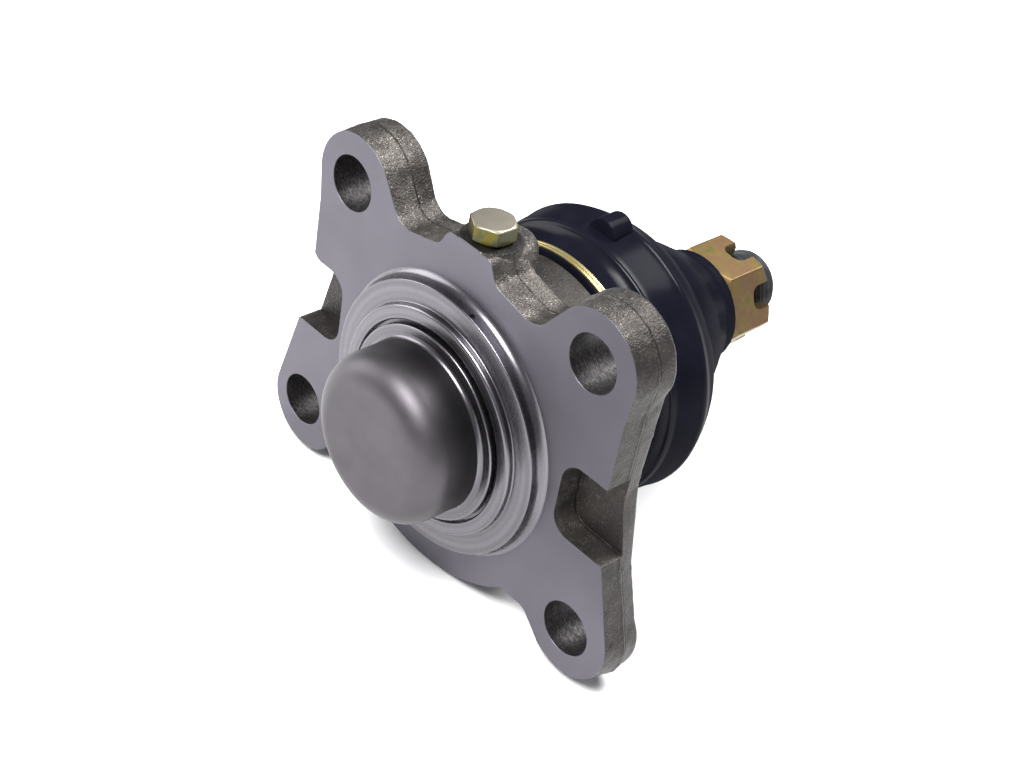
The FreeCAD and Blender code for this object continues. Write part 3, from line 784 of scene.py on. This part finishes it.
def prism_mesh(name, outline_mm, y0, y1):
    """A flat outline of (x, z) pushed from y0 to y1 and closed at both ends."""
    rings = [np.stack([outline_mm[:, 0], np.full(len(outline_mm), y), outline_mm[:, 1]], -1) for y in (y0, y1)]
    return grid_mesh(name, np.array(rings) * MM, caps=True)


def join_meshes(name, meshes):
    """One object with all the given closed shells."""
    bm = bmesh.new()
    for mesh in meshes:
        bm.from_mesh(mesh)
        bpy.data.meshes.remove(mesh)
    joined = bpy.data.meshes.new(name)
    bm.to_mesh(joined)
    bm.free()
    return add_object(name, joined)


def housing_cuts(look):
    """All the hollows as closed shells: bores, bolt holes with a fine flare, side pockets and the plug hole."""
    shells = [turned_mesh("bores", bore_profile(look.spigot), look.segments)]
    hole, pocket_depth = in_mm(look.flange.bolt_hole, look.flange.pocket_depth)
    wall = [(0, -0.9), (hole + 1.0, -0.9), (hole + 0.10, -0.02), (hole, 0.1), (hole, 10.6), (hole + 0.6, 11.2),
            (hole + 0.8, 12.6), (0, 12.6)]
    for x, z in all_holes(look.flange):
        shells.append(moved(turned_mesh("hole", wall, 96), shift(x, 0, z)))
    inner, top, bottom, outer = 35.2, 13.0, -5.0, 64.0
    for side, upper_x, upper_round, lower_x, lower_round in POCKETS:
        outline = rounded_path([
            (outer, top + 8, 0), (upper_x, top + 8, 0), (upper_x, top, upper_round), (inner, top, 5.0),
            (inner, bottom, 4.5), (lower_x, bottom, lower_round), (lower_x + 3, bottom - 10, 0),
            (outer, bottom - 10, 0)], 12)
        shells.append(prism_mesh("pocket", outline * (side, 1), -1.0, pocket_depth))
    plug = turned_mesh("plug_hole", [(0, 10), (3.05, 10), (3.05, -10.0), (0, -12.0)], 48)
    shells.append(moved(plug, shift(0, PLUG_Y, PLUG_Z) @ rotation("X", 90)))
    return join_meshes("housing_cuts", shells)


def boss_mesh(look):
    """The plug boss: a cone with a rounded rim and a rounder, lower swell behind it, cut off at the machined face.
    Each cone gets its relief before the union, at a place of its own in the relief's field."""
    shells = []
    for y, top, points in BOSS_SHELLS:
        mesh = turned_mesh("boss", refine(rounded_path(points, 8), 0.8), 96)
        spots = read(mesh.vertices, "co", 3)
        away = spots * (1, 0, 1)
        away /= np.maximum(np.linalg.norm(away, axis=1), 1e-6)[:, None]
        side = np.clip(spots[:, 1] / MM, 0, 1)
        seen = spots + (0, MM * y * top, 0)
        spots = spots + away * (relief(seen, 2.2, 13) * look.flange.relief * side)[:, None]
        mesh.vertices.foreach_set("co", spots.astype(np.float32).ravel())
        shells.append(moved(mesh, shift(0, y, top) @ rotation("X", -90)))
    obj = add_object("boss", shells[0])
    combine(obj, add_object("swell", shells[1]), "UNION")
    front = np.array([(-12.0, 20.0), (12.0, 20.0), (12.0, 50.0), (-12.0, 50.0)])
    combine(obj, add_object("front", prism_mesh("front", front, -9.0, 0.06)), "DIFFERENCE")
    return obj


def housing_regions(obj, look):
    """Gives each face its finish from its place: machined face, turned rings, drilled walls, else forged skin."""
    mesh = obj.data
    x, y, z = (read(mesh.polygons, "center", 3) / MM).T
    facing = read(mesh.polygons, "normal", 3)[:, 1]
    thickness, hole = in_mm(look.flange.thickness, look.flange.bolt_hole)
    r = np.hypot(x, z)
    spigot_foot, bore, groove = 33.2, 24.0, 28.2
    index = np.full(len(y), FORGED, np.int32)
    rim = (y < 0.16) & (y > -0.01) & (facing < -0.5)
    flat = (np.abs(y) < 0.004) & (facing < -0.9995)
    index[(r < spigot_foot) & (y < 0.05)] = TURNED
    index[(r < bore) & (y < 40)] = TURNED
    index[flat | (rim & (r > spigot_foot))] = MACHINED
    index[(y > 29.0) & (r < groove)] = TURNED
    index[(np.abs(y - thickness) < 0.4) & (facing > 0.9)] = FORGED
    wall = (y > 0.05) & (np.abs(facing) < 0.8)
    for hole_x, hole_z in all_holes(look.flange):
        index[wall & (np.hypot(x - hole_x, z - hole_z) < hole + 0.05)] = DRILLED
    mesh.polygons.foreach_set("material_index", index)
    mesh.update()


def sharpen_rim(obj, finish):
    """Marks the edges between the faces of one finish and all others as sharp, so that a flat face stays flat."""
    mesh = obj.data
    edge = read(mesh.loops, "edge_index", kind=np.int32)
    corners = read(mesh.polygons, "loop_total", kind=np.int32)
    index = read(mesh.polygons, "material_index", kind=np.int32)
    sharp = read(mesh.edges, "use_edge_sharp", kind=bool)
    inside = np.bincount(edge, np.repeat(index == finish, corners), len(mesh.edges))
    around = np.bincount(edge, minlength=len(mesh.edges))
    mesh.edges.foreach_set("use_edge_sharp", sharp | ((inside > 0) & (inside < around)))
    mesh.update()


class BALLJOINT_OT_housing(bpy.types.Operator):
    """Forged flange, turned spigot and neck, with bores, bolt holes and side pockets"""
    bl_idname = "balljoint.housing"
    bl_label = "Housing"

    def execute(self, context):
        look = context.scene.ball_joint
        obj = add_object("housing_surface", flange_skin(look.flange))
        profile = refine(core_profile(look.spigot, look.flange.thickness / MM), 1.5)
        core = add_object("core", turned_mesh("core", profile, look.segments))
        combine(core, boss_mesh(look), "UNION")
        combine(obj, core, "UNION")
        combine(obj, housing_cuts(look), "DIFFERENCE")
        tidy_mesh(obj.data, merge=4e-6)
        dress(obj, 30, machined_finish(look), forged_finish(look), turned_finish(look), drilled_finish())
        housing_regions(obj, look)
        sharpen_rim(obj, MACHINED)
        place(obj, "housing_group", "forged_steel", "housing")
        return {"FINISHED"}


class BALLJOINT_OT_end_cap(bpy.types.Operator):
    """Pressed cap with rounded shoulder, straight wall and the bead above its clinched flange"""
    bl_idname = "balljoint.end_cap"
    bl_label = "End cap"

    def execute(self, context):
        look = context.scene.ball_joint
        c = look.cap
        r, end, round_out, wall = in_mm(c.radius, c.end, c.shoulder, c.wall)
        bead, flange, inner = 21.9, 24.2, r - wall
        profile = refine(rounded_path([
            (0, -end, 0), (r, -end, round_out), (r, -6.3, 1.2), (bead, -6.1, 0.35), (bead, -4.05, 0),
            (flange, -4.05, 0), (flange, -2.25, 0), (inner, -2.25, 0), (inner, -end + wall, round_out - wall),
            (0, -end + wall, 0)], 20), 1.0)
        obj = add_object("end_cap_surface", turned_mesh("end_cap_surface", profile, look.segments))
        x, y, z = (read(obj.data.polygons, "center", 3) / MM).T
        foot = (np.hypot(x, z) > 19.05) & (y > -7.4)
        dress(obj, 40, cap_finish(look), turned_finish(look))
        obj.data.polygons.foreach_set("material_index", foot.astype(np.int32))
        place(obj, "housing_group", "cap_steel", "end_cap")
        return {"FINISHED"}


# Boot and clip

# Chains of arcs as (radius, y): an end, a point on the arc, the next end and so on
BOOT_DRUM = ((29.4, 33.2), (30.43, 35.1), (32.0, 36.6), (32.45, 37.0), (32.6, 37.6), (33.2, 42.0), (33.6, 46.0))
BOOT_BULGE = ((33.85, 46.3), (32.45, 49.2), (30.2, 52.8), (28.7, 54.2), (26.3, 55.0), (25.0, 55.8),
              (24.5, 57.2), (22.4, 62.2), (19.2, 68.2), (17.3, 71.3), (15.2, 75.0))
BOOT_INSIDE = ((11.4, 73.6), (15.4, 70.6), (17.6, 67.3), (20.8, 61.4), (22.9, 56.4), (23.6, 54.6), (25.2, 53.6),
               (27.7, 52.7), (29.3, 51.2), (31.0, 48.4), (31.9, 45.6), (31.5, 41.6), (30.8, 38.2))


def boot_profile():
    """The boot's wall: clamped lip, flare, drum, shoulder band, second bulge, small end, and back inside."""
    def arcs(chain):
        return np.concatenate([three_point_arc(*chain[i:i + 3], 10)[:-1] for i in range(0, len(chain) - 2, 2)])
    lip = rounded_path([(26.63, 29.8, 0), (28.9, 29.8, 0.3), (28.9, 32.5, 0.2), (29.4, 33.2, 0)], 5)
    small_end = rounded_path([(15.2, 75.0, 0), (13.9, 77.2, 1.2), (13.9, 79.8, 0.6), (9.8, 79.8, 0),
                              (9.9, 78.6, 0), (11.4, 77.9, 0), (11.4, 73.6, 0)], 6)
    back = np.array([(30.8, 38.2), (27.8, 36.3), (27.8, 33.0), (26.63, 32.6)])
    path = np.concatenate([lip[:-1], arcs(BOOT_DRUM), arcs(BOOT_BULGE), small_end[:-1], arcs(BOOT_INSIDE), back])
    return refine(np.concatenate([path, path[:1]]), 1.2)[:-1]


class BALLJOINT_OT_boot(bpy.types.Operator):
    """Rubber boot between the housing's neck and the stud"""
    bl_idname = "balljoint.boot"
    bl_label = "Dust boot"

    def execute(self, context):
        look = context.scene.ball_joint
        obj = add_object("dust_boot_surface", turned_mesh("dust_boot_surface", boot_profile(), look.segments, True))
        nub_r, front, back, inside = 3.8, 40.0, 46.4, 31.7  # the nub stands on the drum's top
        nub = rounded_path([(0, front, 0), (nub_r, front, 0.3), (nub_r, back, 0.6), (0, back, 0)], 7)
        knob = add_object("nub", moved(turned_mesh("nub", refine(nub, 0.8), 64), shift(0, 0, 32.5)))
        core = turned_mesh("inside", [(0, 37), (inside, 37), (inside, 50), (0, 50)], 96)
        combine(knob, add_object("inside", core), "DIFFERENCE")
        combine(obj, knob, "UNION")
        tidy_mesh(obj.data)
        dress(obj, 50, rubber_finish(look))
        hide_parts("dust_boot")
        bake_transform(obj)
        return {"FINISHED"}


class BALLJOINT_OT_clip(bpy.types.Operator):
    """Round wire wound twice about the boot's lip, its two ends tucked side by side"""
    bl_idname = "balljoint.clip"
    bl_label = "Boot clip"

    def execute(self, context):
        look = context.scene.ball_joint
        wire, ring, first, pitch = 0.45, 29.34, 30.5, 1.0
        turns = 2.0
        t = np.linspace(0, 1, 720)
        a = -math.pi / 2 + 0.03 + t * (turns * 2 * math.pi - 0.06)
        y = first + pitch * np.clip((t * turns - 0.97) / 0.06, 0, 1)
        b = full_turn(18)[None, :, None]
        tube = spun(ring, y, a)[:, None] + wire * (
            np.cos(b) * spun(1.0, 0.0, a)[:, None] + np.sin(b) * np.array([0.0, 1.0, 0.0]))
        obj = add_object("boot_clip_surface", grid_mesh("boot_clip_surface", tube * MM, caps=True))
        dress(obj, 50, clip_finish(look))
        place(obj, "housing_group", "clip_wire", "boot_clip")
        return {"FINISHED"}


# Nut, stud and plug

def chamfered_hexagon(flats, height, turn, chamfer_top, chamfer_low, columns=288, rows=26):
    """A hexagon's wall met by two cones: at each angle the radius is the smallest of flat, top cone and low cone."""
    a = full_turn(columns) + math.radians(turn)
    inside = (a - math.radians(turn)) % (math.pi / 3) - math.pi / 6
    wall = flats / 2 / np.cos(inside)
    rise = math.tan(math.radians(30))
    top_r, low_r = flats / 2 - chamfer_top, flats / 2 - chamfer_low
    top, low = height - (wall - top_r) * rise, (wall - low_r) * rise
    z = low + (top - low) * np.linspace(0, 1, rows)[:, None]
    rings = ((low_r, np.zeros((1, 1))), (wall, z), (top_r, np.full((1, 1), height)))
    return np.concatenate([np.stack(np.broadcast_arrays(r * np.cos(a), r * np.sin(a), level), -1)
                           for r, level in rings])


def hexagon_object(name, flats, height, turn, chamfers, bevel_mm, bevel_degrees):
    """A chamfered hexagon with rounded edges wherever its faces meet at more than bevel_degrees."""
    points = chamfered_hexagon(flats, height, turn, *chamfers)
    obj = add_object(name, grid_mesh(name, points * MM, caps=True))
    bevel = obj.modifiers.new("Edges", "BEVEL")
    bevel.width = bevel_mm * MM
    bevel.segments = 3
    bevel.limit_method = "ANGLE"
    bevel.angle_limit = math.radians(bevel_degrees)
    settle(obj)
    return obj


def on_stud(y):
    """Turns a piece made upright so that it points along the stud, with its foot at y."""
    return shift(0, y, 0) @ Matrix(((1, 0, 0, 0), (0, 0, 1, 0), (0, 1, 0, 0), (0, 0, 0, 1)))


def slot_outline(width, floor, top, radius):
    return rounded_path([(-width / 2, top, 0), (-width / 2, floor, radius), (width / 2, floor, radius),
                         (width / 2, top, 0)], 10)


class BALLJOINT_OT_nut(bpy.types.Operator):
    """Castle nut: chamfered hexagon with six rounded slots and a threaded bore"""
    bl_idname = "balljoint.nut"
    bl_label = "Castle nut"

    def execute(self, context):
        look = context.scene.ball_joint
        n = look.nut
        flats, height, seat, slot, depth, thread = in_mm(
            n.across_flats, n.height, n.seat, n.slot, n.slot_depth, n.thread)
        turn, loose, flared = -4.9, thread + 0.05, thread + 1.6
        obj = hexagon_object("castle_nut_surface", flats, height, turn, (1.6, 0.3), 0.25, 25)
        bore = rounded_path([(0, -1, 0), (flared, -1, 0), (loose, 0.9, 0), (loose, height - 1, 0),
                             (flared, height + 0.6, 0), (0, height + 1, 0)])
        shells = [moved(turned_mesh("bore", bore, 144), rotation("X", 90))]
        outline = slot_outline(slot, height - depth, height + 2, 2.2)
        for i in range(3):
            shells.append(moved(prism_mesh("slot", outline, -20.0, 20.0), rotation("Z", turn + 30 + 60 * i + 90)))
        combine(obj, join_meshes("nut_cuts", shells), "DIFFERENCE", crossing=True)
        obj.data.transform(on_stud(seat))
        tidy_mesh(obj.data)
        dress(obj, 30, gold_finish(look))
        place(obj, "stud_group", "nut_plate", "castle_nut")
        return {"FINISHED"}


class BALLJOINT_OT_stud(bpy.types.Operator):
    """Ball stud: ball, neck, taper and a thread cut as a helix"""
    bl_idname = "balljoint.stud"
    bl_label = "Ball stud"

    def execute(self, context):
        look = context.scene.ball_joint
        pitch, major = in_mm(look.nut.pitch, look.nut.thread)
        ball_r, ball_y, neck, taper, foot, tip_y, core = 16.0, 5.5, 9.0, 10.8, 80.05, 102.0, major - 1.3
        ball = arc((0, ball_y), ball_r, -90, 90 - math.degrees(math.asin(neck / ball_r)), 60)
        smooth = refine(np.concatenate([ball, rounded_path([
            (neck, 18.0, 0), (neck, 43.0, 4.0), (taper, 50.0, 4.0), (taper, 62.0, 1.0), (9.675, 80.0, 0.2),
            (8.0, foot, 0)], 6)]), 1.2)
        y = np.arange(foot, tip_y, pitch / 10)
        a = full_turn(look.segments // 2)
        share = ((y[:, None] / pitch + a / (2 * math.pi)) % 1.0) * 2 - 1
        depth = 0.92 * np.clip(1.25 * (1 - np.abs(share)) - 0.12, 0, 0.85)
        fade = np.clip((y - 81.5) / 1.0, 0, 1)[:, None]
        tip = np.clip((tip_y - y) / 1.2, 0, 1)[:, None]
        r = np.minimum(major - depth * fade, major - 1.3 * (1 - tip))
        end = np.array([(core, tip_y), (5.0, tip_y), (2.0, tip_y), (0.0, tip_y)])
        points = np.concatenate([spun(smooth[:, :1], smooth[:, 1:], a), spun(r, y[:, None], a),
                                 spun(end[:, :1], end[:, 1:], a)])
        obj = add_object("ball_stud_surface", grid_mesh("ball_stud_surface", points * MM))
        hole = turned_mesh("cotter", [(0, -12), (2.0, -12), (2.0, 12), (0, 12)], 48)
        across = shift(0, 91.7, 0) @ rotation("Y", -25.1) @ rotation("Z", 90)
        combine(obj, add_object("cotter", moved(hole, across)), "DIFFERENCE")
        tidy_mesh(obj.data)
        dress(obj, 45, black_steel_finish())
        place(obj, "stud_group", "stud_steel", "ball_stud")
        return {"FINISHED"}


class BALLJOINT_OT_plug(bpy.types.Operator):
    """Grease plug: small chamfered hexagon head on a short thread"""
    bl_idname = "balljoint.plug"
    bl_label = "Grease plug"

    def execute(self, context):
        look = context.scene.ball_joint
        obj = hexagon_object("grease_plug_surface", 9.0, 3.85, 29.0, (0.2, 0.2), 0.22, 20)
        obj.data.transform(shift(0, 0, 0.35))
        collar, thread = 3.9, 3.0
        shank = turned_mesh("shank", [(0, 0.9), (collar, 0.9), (collar, 0.01), (thread, 0.0), (thread, -7.2),
                                      (2.2, -8.0), (0, -8.0)], 64)
        combine(obj, add_object("shank", moved(shank, rotation("X", 90))), "UNION")
        obj.data.transform(shift(0, PLUG_Y, PLUG_Z))
        tidy_mesh(obj.data)
        dress(obj, 30, plug_finish(look))
        place(obj, "housing_group", "plug_plate", "grease_plug")
        return {"FINISHED"}


class BALLJOINT_OT_inner_pieces(bpy.types.Operator):
    """Finishes of the pieces inside: ball seats, preload spring and the boot's steel ring"""
    bl_idname = "balljoint.inner_pieces"
    bl_label = "Inner pieces"

    def execute(self, context):
        seat = greased_steel_finish("seat_greased", (0.34, 0.33, 0.32), 0.35)
        spring = greased_steel_finish("spring_oiled", (0.26, 0.26, 0.28), 0.28)
        ring = greased_steel_finish("ring_bare", (0.42, 0.42, 0.43), 0.3)
        for node, finish in (("upper_ball_seat", seat), ("lower_ball_seat", seat), ("preload_spring", spring),
                             ("boot_neck_ring", ring)):
            add_materials(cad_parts[node], finish)
        return {"FINISHED"}


# Stage

# Lights: name, place, aim and size in metres, and power in watts
LIGHTS = (("key_overhead", (0.07, -0.35, 0.58), (0, 0, 0), (0.30, 0.26), 10.0),
          ("top_back", (0.06, 0.40, 0.56), (0, 0.02, 0), (0.34, 0.24), 7.0),
          ("left_fill", (-0.75, -0.35, 0.25), (0, 0, 0), (0.5, 0.5), 5.0))
# The photograph's camera, solved from its bolt holes, rings and nut
CAMERA_PLACE, CAMERA_LENS = (0.2025, -0.2146, 0.2296), 61.99
CAMERA_RIGHT, CAMERA_BACK = (0.6691, 0.7269, 0.1543), (0.5240, -0.6088, 0.5956)


def area_light(name, place_at, aim, size, power):
    data = bpy.data.lights.new(name, "AREA")
    data.shape = "RECTANGLE"
    data.size, data.size_y = size
    data.energy = power
    obj = bpy.data.objects.new(name, data)
    obj.location = place_at
    obj.rotation_mode = "QUATERNION"
    obj.rotation_quaternion = (Vector(aim) - Vector(place_at)).to_track_quat("-Z", "Y")
    bpy.context.scene.collection.objects.link(obj)


def floor_finish(look):
    f = Finish("studio_floor", metallic=0.0, specular=0.2)
    return f.wear(f.drift(f.noise(300.0), look.floor, 0.99, 1.0), 0.7)


class BALLJOINT_OT_stage(bpy.types.Operator):
    """Pale floor, soft lights and the camera at the photograph's angle"""
    bl_idname = "balljoint.stage"
    bl_label = "Stage"

    def execute(self, context):
        look = context.scene.ball_joint
        level = CAD_LOW.z - 0.0004
        span = 3.0
        corners = np.array([(-span, -span, level), (span, -span, level), (span, span, level), (-span, span, level)])
        floor = add_object("floor", make_mesh("floor", corners, np.array([[0, 1, 2, 3]])))
        add_materials(floor, floor_finish(look))
        for light in LIGHTS:
            area_light(*light)
        world = bpy.data.worlds.new("studio")
        world.use_nodes = True
        sky = world.node_tree.nodes["Background"].inputs
        sky["Color"].default_value = (0.9, 0.93, 1.0, 1)
        sky["Strength"].default_value = 0.35
        context.scene.world = world
        context.scene.view_settings.view_transform = "Standard"
        data = bpy.data.cameras.new("camera")
        data.lens = CAMERA_LENS
        data.sensor_width = 36.0
        data.clip_start, data.clip_end = 0.01, 20
        camera = bpy.data.objects.new("camera", data)
        back = Vector(CAMERA_BACK).normalized()
        up = back.cross(Vector(CAMERA_RIGHT).normalized()).normalized()
        right = up.cross(back).normalized()
        turn = Matrix((right, up, back)).transposed().to_4x4()
        camera.matrix_world = Matrix.Translation(CAMERA_PLACE) @ turn
        context.scene.collection.objects.link(camera)
        context.scene.camera = camera
        return {"FINISHED"}


class BALLJOINT_PT_sidebar(bpy.types.Panel):
    bl_label = "Ball Joint"
    bl_idname = "BALLJOINT_PT_sidebar"
    bl_space_type = "VIEW_3D"
    bl_region_type = "UI"
    bl_category = "Ball Joint"

    def draw(self, context):
        look = context.scene.ball_joint
        for operator in OPERATORS:
            self.layout.operator(operator.bl_idname)
        for key in ("machined", "forged", "turned", "cap_steel", "rubber", "gold", "plug_plate", "clip_plate"):
            self.layout.prop(look, key)


OPERATORS = (BALLJOINT_OT_housing, BALLJOINT_OT_end_cap, BALLJOINT_OT_boot, BALLJOINT_OT_clip, BALLJOINT_OT_nut,
             BALLJOINT_OT_stud, BALLJOINT_OT_plug, BALLJOINT_OT_inner_pieces, BALLJOINT_OT_stage)
CLASSES = (FlangeSizes, SpigotSizes, CapSizes, NutSizes, BallJointLook, *OPERATORS, BALLJOINT_PT_sidebar)


def register():
    for cls in CLASSES:
        bpy.utils.register_class(cls)
    bpy.types.Scene.ball_joint = PointerProperty(type=BallJointLook)


def unregister():
    del bpy.types.Scene.ball_joint
    for cls in reversed(CLASSES):
        bpy.utils.unregister_class(cls)


def main():
    register()
    for operator in OPERATORS:
        group, name = operator.bl_idname.split(".")
        getattr(getattr(bpy.ops, group), name)()


if __name__ == "__main__":
    main()
